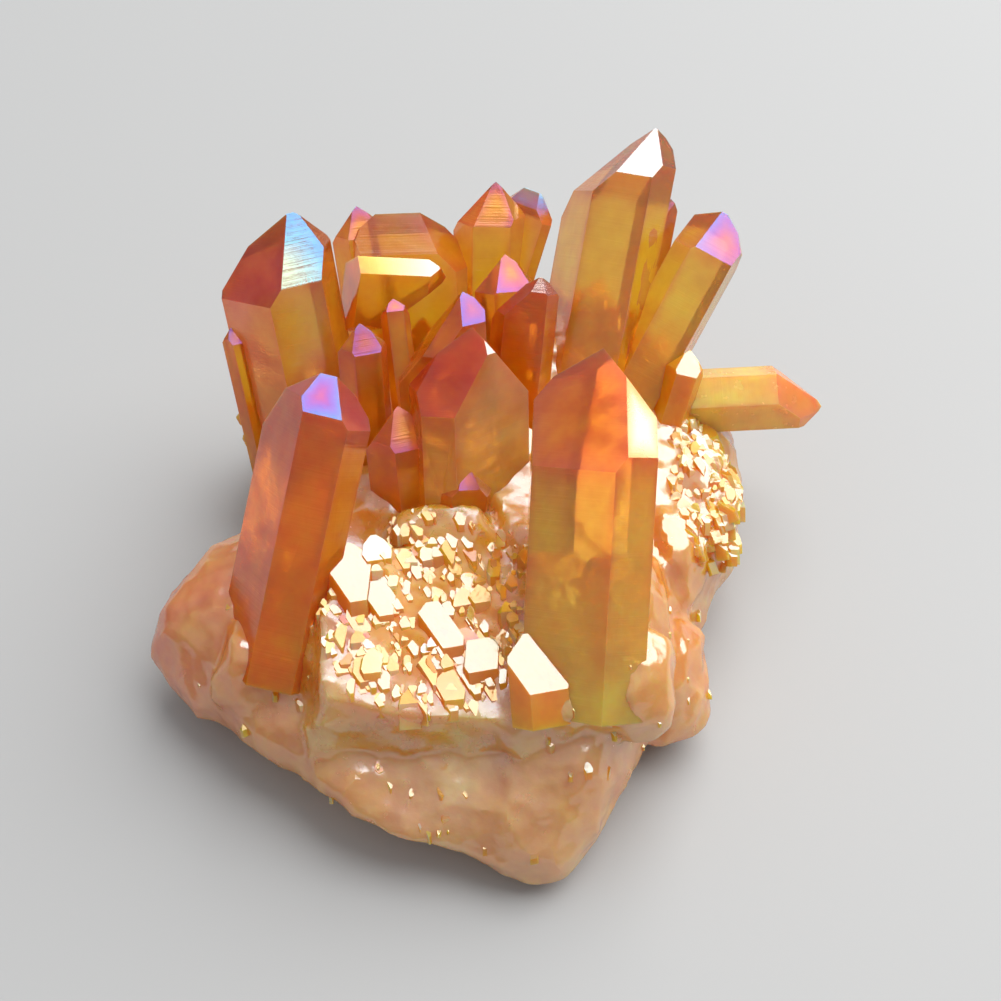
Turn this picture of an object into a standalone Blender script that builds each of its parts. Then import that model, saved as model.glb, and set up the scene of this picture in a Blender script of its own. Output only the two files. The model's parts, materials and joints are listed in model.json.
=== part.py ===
"""A quartz crystal cluster, 67 mm across: pointed six-sided crystals grown together on one lumpy mass.

Lengths in this file are millimetres and angles are degrees. The mesh is scaled to metres at the end.
The object stands on Z = 0. Its blunt end points to -Y, and the long crystals lean back towards +Y.
"""

import random
from dataclasses import dataclass
from math import cos, radians, sin, tau

import bmesh
import bpy
import numpy as np
from mathutils import Matrix, Vector
from mathutils.bvhtree import BVHTree

METRES_PER_MM = 0.001
SEED = 21

# The point of the seat that stands on the origin, below the middle of the whole cluster.
STAND_X = -0.4
STAND_Y = -13.0

# Quartz has six prism faces round its long axis, and a point face above each of them.
PRISM_FACES = 6
POINT_SLOPE = 38.2
EVEN_POINT = (0.0, 0.3, 0.1, 0.5, 0.0, 0.2)
BRIGHT_POINT = (2.0, 2.0, 0.0, 2.0, 2.0, 2.0)
BLOCK_SHARE = 4.0

# The mass that everything grows from, and what it is made of.
MIDDLE = (-1.0, -14.0, 18.0)
SEAT_SHARE = 0.8
CROWN_SHARE = 0.5
MASS_ROUGHNESS = 0.45
SEAT_CLEARANCE = 0.3
CHUNK_CUTS = 22
CHUNK_DEPTH = (0.82, 1.0)
CHUNK_SCATTER = 0.3
CHUNK_BLOCK = 2.4
GOLDEN_TURN = tau * 0.381966

# Small crystals of a crust: shares of their girth, and where they are dropped from.
DRUSE_SIDES = (0.75, 1.2)
DRUSE_STEPS = (0.0, 0.35)
DRUSE_FOOT = 3.0
DRUSE_DROP = 40.0
NEARLY_BACK = (0.0, 1.0, 0.1)

CUT_TOLERANCE = 1e-5
WELD = 1e-4


@dataclass(frozen=True)
class Crystal:
    """One crystal. Its faces are measured from the tip: the sides across the axis, the steps along a
    point face's own outward direction, so a face with a larger step is a smaller face."""

    tip: tuple
    lean: float
    heading: float
    turn: float
    length: float
    sides: tuple
    steps: tuple = EVEN_POINT

    def placing(self):
        """The matrix that stands the crystal in its place, from tip at the origin and point up."""
        return (
            Matrix.Translation(self.tip)
            @ Matrix.Rotation(radians(self.heading), 4, "Z")
            @ Matrix.Rotation(radians(self.lean), 4, "Y")
            @ Matrix.Rotation(radians(self.turn), 4, "Z")
        )


@dataclass(frozen=True)
class Station:
    """One direction round the mass: its widest corner, the shoulder above it and the crown's height."""

    rim: tuple
    shoulder: tuple
    crown: float


@dataclass(frozen=True)
class Chunk:
    """A broken block: a ball pressed to the radii and cut all round into flat facets."""

    middle: tuple
    radii: tuple
    heading: float = 0.0


@dataclass(frozen=True)
class DrusePatch:
    """A stretch of crust: small crystals set where lines along `view` meet the ground near `middle`.
    They all lean nearly the same way, so their faces catch the light together."""

    middle: tuple
    view: tuple
    reach: tuple
    count: int
    girth: tuple
    rise: tuple
    lean: float
    heading: float
    turn: float
    spread: float


# Girths and steps go round from the face that the turn names.
CRYSTALS = {
    "front_right": Crystal(
        (9.2, -9.5, 32.5), 45, 86, 93, 26, (6.0, 8.2, 9.1, 4.6, 3.0, 2.5), (1.7, 0, 1.5, 0, 1.0, 0)
    ),
    "middle": Crystal(
        (-2.6, -5.5, 31.3), 27.5, 92.5, 104, 24, (5.8, 5.5, 2.4, 5.4, 3.0, 4.5), (1.3, 0, 0.6, 0, 0.8, 0)
    ),
    "front_left": Crystal(
        (-14.4, -12.9, 32.3), 42, 70.5, 73, 27.5, (9.5, 3.0, 2.6, 3.2, 3.5, 5.0), (2.8, 1.0, 0, 0, 0.8, 0)
    ),
    "back_left": Crystal(
        (-20.4, 6.8, 34.4), 24, 109, 61.5, 28, (7.5, 5.7, 4.5, 3.4, 2.8, 4.0), (1.8, 0, 0, 0.7, 0.5, 0)
    ),
    "tall_back": Crystal(
        (15.2, 17.2, 36.6), 42, 75, 57, 34, (9.0, 5.6, 3.9, 3.1, 2.1, 5.5), (1.0, 0, 0, 0.2, 0.6, 0)
    ),
    "tall_back_twin": Crystal((16.9, 12.2, 31.8), 42, 75, 57, 26, (4.0, 3.0, 3.0, 0.6, 0.8, 2.0)),
    "back_right": Crystal(
        (22.0, 11.7, 30.7), 46, 50, 103, 22, (2.3, 3.7, 3.4, 3.7, 4.0, 3.0), (1.4, 0, 0, 1.2, 0.5, 0)
    ),
    "lying_right": Crystal(
        (32.0, 1.2, 15.2), 88, 2, 30, 24, (3.1, 2.8, 3.1, 3.2, 2.8, 2.8), (1.6, 0.4, 0, 0, 1.2, 1.6)
    ),
    "inner_right": Crystal(
        (3.7, 1.4, 31.2), 30, 80, 60, 18, (5.5, 3.0, 1.0, 1.4, 2.0, 4.0), (0.6, 0, 0, 0.2, 0.5, 0)
    ),
    "inner_left": Crystal((-3.6, -0.4, 31.0), 28, 95, 90, 16, (6.5, 4.5, 2.2, 2.0, 2.0, 4.0)),
    "rear_edge": Crystal((-14.3, 11.9, 31.2), 24, 105, 60, 20, (2.6, 2.4, 2.2, 2.2, 2.2, 2.4)),
    "rear_knob": Crystal(
        (-0.6, 13.8, 32.6), 28, 88, 60, 24, (3.9, 3.2, 3.0, 3.0, 2.5, 2.5), (0, 0.1, 0, 0.4, 0.2, 0.6)
    ),
    "rear_knob_twin": Crystal(
        (3.4, 14.0, 31.4), 36, 60, 60, 24, (2.5, 2.4, 1.2, 2.6, 2.4, 2.0), (0.8, 0.8, 0.0, 0.4, 0.6, 0)
    ),
    "rear_block": Crystal((0.4, 6.5, 29.6), 30, 90, 80, 18, (2.6, 3.0, 2.6, 2.6, 2.5, 2.5)),
    "rear_ledge": Crystal((-5.4, 5.4, 27.6), 104.6, 13, 12.3, 9, (7.0, 4.5, 1.6, 1.4, 1.6, 5.0)),
    "ledge_stub": Crystal((-10.3, 1.2, 28.6), 40, 100, 60, 12, (1.2, 1.2, 1.0, 1.2, 1.2, 1.2)),
    "left_spur": Crystal((-26.3, 1.9, 24.6), 24, 109, 61.5, 18, (1.2, 1.2, 1.4, 1.4, 1.4, 1.4)),
    "drusy_stub": Crystal((-13.3, -2.6, 29.0), 20, 95, 75, 14, (2.0, 2.0, 2.0, 2.2, 2.0, 2.0)),
    "inner_low": Crystal((-9.6, -9.5, 25.0), 22, 100, 70, 14, (3.2, 2.6, 2.8, 3.0, 3.0, 3.0)),
    "inner_stump": Crystal((-3.6, -12.5, 22.4), 30, 80, 30, 10, (3.0, 2.6, 3.0, 3.0, 3.0, 3.0)),
    "rear_wide": Crystal(
        (-10.2, 11.2, 30.9), 28, 93, 0, 22, (2.6, 4.6, 4.6, 2.8, 6.2, 6.2), (0, 1.5, 2.2, 0, 1.5, 2.6)
    ),
    "bright_stub": Crystal((-13.8, -23.8, 19.6), 45, 86, 93, 9, (2.5,) * 6, BRIGHT_POINT),
    "bright_block": Crystal((3.8, -31.0, 18.2), 45, 86, 93, 9, (3.0, 2.6, 3.0, 3.4, 3.0, 2.6), BRIGHT_POINT),
    "bright_chip": Crystal((-5.4, -28.8, 17.8), 45, 86, 93, 9, (1.9,) * 6, BRIGHT_POINT),
    "bright_flake": Crystal((-1.8, -32.4, 15.8), 45, 86, 93, 9, (1.7,) * 6, BRIGHT_POINT),
    "front_block": Crystal(
        (-20.5, -33.2, 5.6), 90, 184, 15, 21, (5.0, 5.5, 7.4, 6.0, 5.0, 5.0), (1.0, 0.6, 2.2, 1.4, 0, 0.4)
    ),
    "foot_block": Crystal((18.8, 1.0, 22.0), 30, 60, 90, 10, (1.8, 1.8, 1.8, 1.8, 1.8, 1.8)),
}

STATIONS = (
    Station((2.5, -46.5, 2.0), (1.0, -42.0, 9.0), 13.0),
    Station((-4.0, -44.5, 4.0), (-5.5, -41.5, 8.0), 13.0),
    Station((-10.0, -43.5, 5.0), (-11.5, -40.5, 8.5), 13.0),
    Station((-19.5, -37.0, 5.0), (-17.5, -36.0, 10.5), 14.0),
    Station((-25.5, -32.5, 5.0), (-22.5, -31.5, 11.5), 15.0),
    Station((-31.5, -28.0, 5.0), (-26.0, -27.0, 12.5), 16.0),
    Station((-33.5, -22.5, 6.0), (-29.5, -22.0, 12.5), 16.0),
    Station((-31.0, -17.5, 7.0), (-27.0, -17.0, 12.5), 17.0),
    Station((-24.0, -8.0, 6.0), (-20.0, -7.0, 13.0), 18.0),
    Station((-22.5, 4.0, 5.0), (-18.0, 3.0, 15.0), 19.0),
    Station((-12.0, 11.5, 5.0), (-9.0, 8.0, 16.0), 20.0),
    Station((2.0, 14.0, 5.0), (2.0, 10.0, 17.0), 20.0),
    Station((14.0, 13.0, 5.0), (12.0, 9.0, 17.0), 20.0),
    Station((22.5, 6.0, 6.0), (18.0, 4.0, 16.0), 19.0),
    Station((24.5, -3.0, 8.0), (20.5, -3.0, 15.0), 18.0),
    Station((24.0, -13.0, 7.0), (19.5, -13.0, 14.0), 17.0),
    Station((19.0, -23.0, 5.0), (15.5, -22.0, 14.0), 18.0),
    Station((13.8, -33.0, 4.0), (12.5, -30.5, 14.0), 19.0),
    Station((10.5, -39.5, 4.0), (9.8, -35.5, 14.0), 19.0),
    Station((7.5, -44.5, 3.0), (6.5, -39.0, 13.0), 18.0),
)

CHUNKS = (
    Chunk((-5.5, -26.5, 11.0), (10.5, 8.5, 6.8)),
    Chunk((-14.5, -25.0, 12.2), (5.5, 8.0, 6.5)),
    Chunk((-28.0, -22.0, 7.0), (4.8, 5.0, 5.2)),
    Chunk((19.5, -8.5, 10.0), (5.2, 9.5, 6.6)),
    Chunk((16.2, -16.0, 10.0), (5.0, 6.5, 6.5)),
    Chunk((12.0, -24.5, 11.5), (4.6, 6.5, 7.5)),
    Chunk((16.2, -27.8, 5.0), (3.9, 6.0, 4.9)),
    Chunk((7.6, -31.2, 15.6), (6.0, 6.0, 6.8)),
    Chunk((-18.5, 3.0, 9.0), (7.0, 9.0, 9.5)),
    Chunk((8.0, 9.0, 9.0), (11.0, 8.0, 8.5)),
    Chunk((-21.5, -26.5, 8.0), (6.0, 7.5, 5.8), 30.0),
    Chunk((6.0, 4.0, 14.0), (6.0, 5.0, 7.0)),
)

DRUSE = (
    DrusePatch((-6.0, -26.5, 16.0), (0, 0.6, -1), (9.5, 8.0), 90, (0.7, 1.5), (0.2, 1.3), 48, 95, 90, 12),
    DrusePatch((19.5, -9.0, 12.0), (-0.4, 0.5, -1), (4.0, 9.0), 44, (0.7, 1.5), (0.1, 0.7), 40, 80, 90, 20),
    DrusePatch((-8.0, 4.0, 21.0), (0, 0.5, -1), (7.0, 4.0), 16, (1.0, 1.8), (0.4, 2.5), 30, 95, 80, 12),
    DrusePatch((0.0, 12.0, 14.0), (0, -1, -0.5), (20.0, 7.0), 30, (1.2, 2.8), (0.5, 3.5), 62, 92, 40, 25),
    DrusePatch((-21.0, 2.0, 6.0), (1, 0, -0.3), (3.0, 7.0), 12, (1.2, 2.2), (0.3, 1.4), 60, 178, 20, 20),
)


def cut_flat(shape, point, outward):
    """Cuts a closed convex shape along a plane, throws away the outward side and closes the cut."""
    everything = shape.verts[:] + shape.edges[:] + shape.faces[:]
    bmesh.ops.bisect_plane(
        shape, geom=everything, dist=CUT_TOLERANCE, plane_co=point, plane_no=outward, clear_outer=True
    )
    rim = [edge for edge in shape.edges if edge.is_boundary]
    if rim:
        bmesh.ops.contextual_create(shape, geom=rim)


def lift_off_seat(shape):
    """Ends a growth a little above the seat, so that only the mass itself stands on the ground."""
    cut_flat(shape, Vector((0.0, 0.0, SEAT_CLEARANCE)), Vector((0.0, 0.0, -1.0)))
    bmesh.ops.remove_doubles(shape, verts=shape.verts, dist=WELD)


def crystal_shape(crystal):
    """A block cut by six prism planes, six point planes and a flat foot, in its place."""
    shape = bmesh.new()
    bmesh.ops.create_cube(shape, size=BLOCK_SHARE * crystal.length)
    for face in range(PRISM_FACES):
        around = tau * face / PRISM_FACES
        side = Vector((cos(around), sin(around), 0.0))
        point = Vector((side.x, side.y, 0.0)) * cos(radians(POINT_SLOPE))
        point.z = sin(radians(POINT_SLOPE))
        cut_flat(shape, side * crystal.sides[face], side)
        cut_flat(shape, point * crystal.steps[face], point)
    cut_flat(shape, Vector((0.0, 0.0, -crystal.length)), Vector((0.0, 0.0, -1.0)))
    bmesh.ops.transform(shape, matrix=crystal.placing(), verts=shape.verts)
    lift_off_seat(shape)
    return shape


def chunk_shape(chunk, chance):
    """A block cut by planes that nearly touch a ball, then pressed to the chunk's radii. The planes face
    points of a spiral that winds evenly over the ball, each moved a little."""
    shape = bmesh.new()
    bmesh.ops.create_cube(shape, size=CHUNK_BLOCK)
    start = chance.uniform(0.0, tau)
    for cut in range(CHUNK_CUTS):
        height = 1.0 - (2.0 * cut + 1.0) / CHUNK_CUTS
        round_axis = (1.0 - height * height) ** 0.5
        around = start + GOLDEN_TURN * cut
        outward = Vector((round_axis * cos(around), round_axis * sin(around), height))
        outward += Vector([chance.uniform(-CHUNK_SCATTER, CHUNK_SCATTER) for _ in range(3)])
        outward.normalize()
        cut_flat(shape, outward * chance.uniform(*CHUNK_DEPTH), outward)
    placing = (
        Matrix.Translation(chunk.middle)
        @ Matrix.Rotation(radians(chunk.heading), 4, "Z")
        @ Matrix.Diagonal((*chunk.radii, 1.0))
    )
    bmesh.ops.transform(shape, matrix=placing, verts=shape.verts)
    lift_off_seat(shape)
    return shape


def halfway(rows, closed):
    """Doubles the rows of an array: each new row lies on the smooth curve through the four rows round
    it, which weighs the near two by 9/16 and the far two by -1/16."""
    before = np.roll(rows, 1, axis=0)
    after = np.roll(rows, -1, axis=0)
    beyond = np.roll(rows, -2, axis=0)
    if not closed:
        before[0] = rows[0]
        after[-1] = rows[-1]
        beyond[-2:] = rows[-1]
    between = (9.0 * (rows + after) - before - beyond) / 16.0
    doubled = np.stack([rows, between], axis=1).reshape(-1, *rows.shape[1:])
    return doubled if closed else doubled[:-1]


def mass_shape(chance):
    """The mass: rings of corners smoothed through the stations, closed by a flat seat and a low crown."""
    middle = np.array(MIDDLE)
    rim = np.array([station.rim for station in STATIONS])
    shoulder = np.array([station.shoulder for station in STATIONS])
    seat = middle + (rim - middle) * SEAT_SHARE
    seat[:, 2] = 0.0
    crown = middle + (shoulder - middle) * CROWN_SHARE
    crown[:, 2] = [station.crown for station in STATIONS]
    rings = halfway(halfway(np.stack([seat, rim, shoulder, crown], axis=1), True).swapaxes(0, 1), False)

    shape = bmesh.new()
    corners = []
    for level, ring in enumerate(rings):
        loose = [chance.uniform(-MASS_ROUGHNESS, MASS_ROUGHNESS) if level else 0.0 for _ in ring]
        outward = (ring - middle) / np.linalg.norm(ring - middle, axis=1, keepdims=True)
        corners.append([shape.verts.new(place) for place in ring + outward * np.array(loose)[:, None]])
    columns = len(corners[0])
    for low, high in zip(corners, corners[1:]):
        for here in range(columns):
            after = (here + 1) % columns
            shape.faces.new((low[here], low[after], high[after], high[here]))
    shape.faces.new(corners[0])
    top = shape.verts.new(middle)
    for here in range(columns):
        shape.faces.new((corners[-1][here], corners[-1][(here + 1) % columns], top))
    bmesh.ops.triangulate(shape, faces=[face for face in shape.faces if len(face.verts) == 4])
    return shape


def druse_crystals(patch, grounds, chance):
    """Small crystals that stand out of the ground, with their feet inside it."""
    view = Vector(patch.view).normalized()
    across = view.cross(Vector(NEARLY_BACK)).normalized()
    along = view.cross(across)
    placed = []
    for _ in range(patch.count):
        spot = Vector(patch.middle)
        spot += across * chance.uniform(-1, 1) * patch.reach[0] + along * chance.uniform(-1, 1) * patch.reach[1]
        girth = chance.uniform(*patch.girth)
        rise = chance.uniform(*patch.rise)
        lean = patch.lean + chance.uniform(-patch.spread, patch.spread)
        heading = patch.heading + chance.uniform(-patch.spread, patch.spread)
        turn = patch.turn + chance.uniform(-patch.spread, patch.spread)
        sides = tuple(girth * chance.uniform(*DRUSE_SIDES) for _ in range(PRISM_FACES))
        steps = tuple(girth * chance.uniform(*DRUSE_STEPS) for _ in range(PRISM_FACES))
        hits = [ground.ray_cast(spot - view * DRUSE_DROP, view) for ground in grounds]
        hits = [hit for hit in hits if hit[0] is not None]
        if not hits:
            continue
        place = min(hits, key=lambda hit: hit[3])[0]
        length = rise + girth * DRUSE_FOOT
        crystal = Crystal((0.0, 0.0, 0.0), lean, heading, turn, length, sides, steps)
        axis = crystal.placing() @ Vector((0.0, 0.0, 1.0))
        tip = place + axis * (rise + girth)
        placed.append(Crystal(tuple(tip), lean, heading, turn, length, sides, steps))
    return placed


def add_object(name, shape, collection):
    """Puts a bmesh into the scene, in metres and over the origin, as a named object facing out."""
    stand = Matrix.Scale(METRES_PER_MM, 4) @ Matrix.Translation((-STAND_X, -STAND_Y, 0.0))
    bmesh.ops.transform(shape, matrix=stand, verts=shape.verts)
    bmesh.ops.recalc_face_normals(shape, faces=shape.faces)
    mesh = bpy.data.meshes.new(name)
    shape.to_mesh(mesh)
    shape.free()
    made = bpy.data.objects.new(name, mesh)
    collection.objects.link(made)
    return made


def quartz_material():
    """Orange quartz with a glossy skin."""
    material = bpy.data.materials.new("orange_quartz")
    material.use_nodes = True
    skin = material.node_tree.nodes["Principled BSDF"]
    skin.inputs["Base Color"].default_value = (0.78, 0.30, 0.06, 1.0)
    skin.inputs["Roughness"].default_value = 0.12
    skin.inputs["Metallic"].default_value = 0.0
    return material


def main():
    chance = random.Random(SEED)
    for old in list(bpy.data.objects):
        bpy.data.objects.remove(old)
    parts = bpy.data.collections.new("quartz_cluster")
    growths = bpy.data.collections.new("growths")
    for collection in (parts, growths):
        bpy.context.scene.collection.children.link(collection)

    mass = mass_shape(chance)
    grounds = [BVHTree.FromBMesh(mass)]
    cluster = add_object("quartz_cluster", mass, parts)
    cluster.data.materials.append(quartz_material())
    for chunk in CHUNKS:
        shape = chunk_shape(chunk, chance)
        grounds.append(BVHTree.FromBMesh(shape))
        add_object("chunk", shape, growths)
    for name, crystal in CRYSTALS.items():
        add_object(name, crystal_shape(crystal), growths)
    for patch in DRUSE:
        for crystal in druse_crystals(patch, grounds, chance):
            add_object("druse", crystal_shape(crystal), growths)
    for growth in growths.objects:
        growth.hide_render = True
        growth.display_type = "WIRE"
    union = cluster.modifiers.new("grown_together", "BOOLEAN")
    union.operation = "UNION"
    union.solver = "EXACT"
    union.operand_type = "COLLECTION"
    union.collection = growths


main()
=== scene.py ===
"""Looks of an orange quartz crystal cluster, 67 mm across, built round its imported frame.

Lengths are millimetres and angles are degrees, in the frame in which the cluster was measured. A finished
mesh is moved over the frame's origin and scaled to metres when it becomes a piece.
"""
import json
import logging
from dataclasses import dataclass
from enum import Enum
from itertools import combinations
from math import cos, radians, sin, tau

import bpy
import numpy as np
from mathutils import Matrix, Vector
from mathutils.bvhtree import BVHTree

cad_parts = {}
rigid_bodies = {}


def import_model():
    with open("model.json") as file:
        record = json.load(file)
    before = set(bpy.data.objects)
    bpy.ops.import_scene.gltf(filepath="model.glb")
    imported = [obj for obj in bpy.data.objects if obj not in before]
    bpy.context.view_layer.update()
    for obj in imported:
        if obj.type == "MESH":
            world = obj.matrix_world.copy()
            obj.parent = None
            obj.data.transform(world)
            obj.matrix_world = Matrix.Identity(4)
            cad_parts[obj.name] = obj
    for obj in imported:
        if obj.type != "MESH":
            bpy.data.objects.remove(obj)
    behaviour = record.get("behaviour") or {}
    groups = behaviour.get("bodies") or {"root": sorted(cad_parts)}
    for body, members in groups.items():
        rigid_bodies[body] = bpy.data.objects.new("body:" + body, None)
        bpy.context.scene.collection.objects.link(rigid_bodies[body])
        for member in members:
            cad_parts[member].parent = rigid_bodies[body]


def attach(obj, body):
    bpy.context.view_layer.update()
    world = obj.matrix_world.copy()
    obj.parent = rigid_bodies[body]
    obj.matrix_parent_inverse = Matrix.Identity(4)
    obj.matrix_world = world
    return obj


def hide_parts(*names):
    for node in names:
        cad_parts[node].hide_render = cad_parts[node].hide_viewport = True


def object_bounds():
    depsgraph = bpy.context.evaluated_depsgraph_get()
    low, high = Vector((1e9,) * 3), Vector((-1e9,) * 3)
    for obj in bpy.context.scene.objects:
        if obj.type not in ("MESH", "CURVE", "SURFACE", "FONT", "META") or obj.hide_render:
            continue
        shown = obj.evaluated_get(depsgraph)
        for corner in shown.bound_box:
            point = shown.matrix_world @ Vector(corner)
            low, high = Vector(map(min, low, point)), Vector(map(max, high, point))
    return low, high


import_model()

log = logging.getLogger("quartz_cluster")
CAD_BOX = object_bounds()

METRES_PER_MM = 0.001
STAND = np.array([-0.4, -13.0, 0.0])
NODE = "quartz_cluster"
BODY = "root"
WELD_MM = 1e-3
NEAR_MM = 1e-6
FILM_UNIT = 200.0
SMOOTH_UP_TO = 24.0


def cad_box() -> tuple[np.ndarray, np.ndarray]:
    """The low and high corners of the CAD solids in mm, in the measured frame."""
    low, high = (np.array(corner) / METRES_PER_MM + STAND for corner in CAD_BOX)
    return low, high


def new_collection(name: str) -> bpy.types.Collection:
    """A collection that is linked to the scene."""
    made = bpy.data.collections.new(name)
    bpy.context.scene.collection.children.link(made)
    return made


class Tint(Enum):
    """Linear colours of the quartz and of its coated skin; on the crystals' faces they also carry painted
    light and shade.
    """

    AMBER = (0.98, 0.36, 0.012)
    GOLD = (0.98, 0.56, 0.035)
    EMBER = (0.80, 0.13, 0.012)
    ROSE = (0.84, 0.16, 0.13)
    PEACH = (0.84, 0.34, 0.065)
    CREAM = (0.95, 0.66, 0.36)
    HONEY = (0.97, 0.66, 0.14)
    FLAME = (0.98, 0.25, 0.003)
    LIME = (0.78, 0.52, 0.02)


def rotation(axis: str, angle: float) -> np.ndarray:
    """A turn about one axis.

    Args:
        axis: "Y" or "Z".
        angle: degrees, by the right-hand rule.

    Returns:
        The 3 by 3 matrix.
    """
    return np.array(Matrix.Rotation(radians(angle), 3, axis))


def hashed(cells: np.ndarray, seed: int) -> np.ndarray:
    """One number from -1 to 1 for each lattice cell: the cell's three indices are multiplied by large
    primes, added and mixed by shifts, and the low 16 bits are kept.

    Args:
        cells: whole-number indices, shape (..., 3).
        seed: another number gives another field.

    Returns:
        The numbers, shape (...).
    """
    mixed = cells[..., 0] * 374761393 + cells[..., 1] * 668265263 + cells[..., 2] * 1442695041
    mixed = mixed + seed * 974634777
    mixed = (mixed ^ (mixed >> 13)) * 1274126177
    mixed = mixed ^ (mixed >> 16)
    return (mixed & 0xFFFF) / 32767.5 - 1.0


def noise(points: np.ndarray, size: float, seed: int) -> np.ndarray:
    """Smooth lumps: a point blends the numbers at the eight corners of its lattice cell, with the share
    3t² - 2t³ along each axis.

    Args:
        points: positions in mm, shape (..., 3).
        size: the lattice's cell in mm.
        seed: another number gives another field.

    Returns:
        Values from -1 to 1, shape (...).
    """
    lattice = points / size
    low = np.floor(lattice).astype(np.int64)
    part = lattice - low
    ease = part * part * (3.0 - 2.0 * part)
    total = np.zeros(points.shape[:-1])
    for corner in np.ndindex(2, 2, 2):
        share = np.where(np.array(corner) == 1, ease, 1.0 - ease).prod(axis=-1)
        total += share * hashed(low + np.array(corner), seed)
    return total


def scallops(points: np.ndarray, size: float, seed: int) -> np.ndarray:
    """Shallow dents with ridges between them, as where quartz has broken: the squared distance to the
    nearest of a jittered lattice's points, over the squared cell.

    Args:
        points: positions in mm, shape (..., 3).
        size: the lattice's cell in mm.
        seed: another number gives another field.

    Returns:
        Values from 0 in a dent's middle to about 1 on a ridge, shape (...).
    """
    cell = np.floor(points / size).astype(np.int64)
    nearest = np.full(points.shape[:-1], np.inf)
    for offset in np.ndindex(3, 3, 3):
        here = cell + np.array(offset) - 1
        jitter = np.stack([hashed(here, seed + axis) for axis in range(3)], axis=-1)
        away = points / size - (here + 0.5 + 0.4 * jitter)
        nearest = np.minimum(nearest, (away**2).sum(axis=-1))
    return nearest


@dataclass
class Shell:
    """Triangles with a colour and a skin value at each corner point.

    The tint holds red, green, blue and clarity. The skin holds frost, film and the way along the crystal.
    """

    points: np.ndarray
    triangles: np.ndarray
    tint: np.ndarray
    skin: np.ndarray

    @staticmethod
    def joined(shells: list["Shell"]) -> "Shell":
        """One shell from several, with the triangles renumbered."""
        starts = np.cumsum([0] + [len(shell.points) for shell in shells[:-1]])
        return Shell(
            np.concatenate([shell.points for shell in shells]),
            np.concatenate([shell.triangles + start for shell, start in zip(shells, starts)]),
            np.concatenate([shell.tint for shell in shells]),
            np.concatenate([shell.skin for shell in shells]),
        )

    def welded(self) -> tuple[np.ndarray, np.ndarray, np.ndarray]:
        """Points closer than the weld distance become one, and triangles that collapse are dropped.

        Returns:
            Which points stay, the triangles that stay in their new numbers, and which those are.
        """
        keys = np.round(self.points / WELD_MM).astype(np.int64)
        _, first, welded = np.unique(keys, axis=0, return_index=True, return_inverse=True)
        triangles = welded.reshape(-1)[self.triangles]
        whole = (triangles != np.roll(triangles, 1, axis=1)).all(axis=1)
        return first, triangles[whole], whole

    def is_closed(self) -> bool:
        """Whether every edge of the welded triangles is shared by two of them, one each way."""
        triangles = self.welded()[1]
        edges = np.stack([triangles, np.roll(triangles, -1, axis=1)], axis=2).reshape(-1, 2)
        forward, times = np.unique(edges, axis=0, return_counts=True)
        backward = np.unique(edges[:, ::-1], axis=0)
        return bool((times == 1).all() and forward.shape == backward.shape and (forward == backward).all())

    def to_object(self, name: str, collection: bpy.types.Collection) -> bpy.types.Object:
        """Makes a welded mesh object, whose corners keep their own tint and skin.

        Args:
            name: the object's name.
            collection: where it is linked.

        Returns:
            The new object.
        """
        first, triangles, whole = self.welded()
        corners = self.triangles[whole].reshape(-1)
        mesh = bpy.data.meshes.new(name)
        mesh.from_pydata(self.points[first], [], triangles)
        for label, values in (("tint", self.tint), ("skin", self.skin)):
            layer = mesh.attributes.new(label, "FLOAT_COLOR", "CORNER")
            layer.data.foreach_set("color", values[corners].astype(np.float32).reshape(-1))
        mesh.update()
        made = bpy.data.objects.new(name, mesh)
        collection.objects.link(made)
        return made


def convex_faces(normals: np.ndarray, distances: np.ndarray) -> list[np.ndarray]:
    """The faces of the solid in which every normal · point is at most its distance. Every three planes
    meet in a point; those that no plane cuts off are the solid's corners, and a face's corners are put
    in order by their angle round its normal.

    Args:
        normals: unit normals, shape (planes, 3).
        distances: shape (planes,).

    Returns:
        One array of corners for each plane, empty where a plane has no face.
    """
    triples = np.array(list(combinations(range(len(normals)), 3)))
    matrices = normals[triples]
    solvable = np.abs(np.linalg.det(matrices)) > 1e-6
    meets = np.linalg.solve(matrices[solvable], distances[triples[solvable]][..., None])[..., 0]
    inside = (meets @ normals.T <= distances + NEAR_MM).all(axis=1)
    corners = np.unique(np.round(meets[inside], 6), axis=0)
    faces = []
    for normal, distance in zip(normals, distances):
        on_face = corners[np.abs(corners @ normal - distance) < 10.0 * NEAR_MM]
        if len(on_face) < 3:
            faces.append(np.empty((0, 3)))
            continue
        across = on_face[0] - on_face.mean(axis=0)
        across = across / np.linalg.norm(across)
        along = np.cross(normal, across)
        spokes = on_face - on_face.mean(axis=0)
        faces.append(on_face[np.argsort(np.arctan2(spokes @ along, spokes @ across))])
    return faces


def band(low: int, columns: int) -> list[np.ndarray]:
    """The two sets of triangles between the ring of points that starts at `low` and the next ring."""
    here = low + np.arange(columns)
    after = low + (np.arange(columns) + 1) % columns
    above = np.stack([here, here + columns, after + columns], axis=1)
    below = np.stack([here, after + columns, after], axis=1)
    return [above, below]


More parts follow.
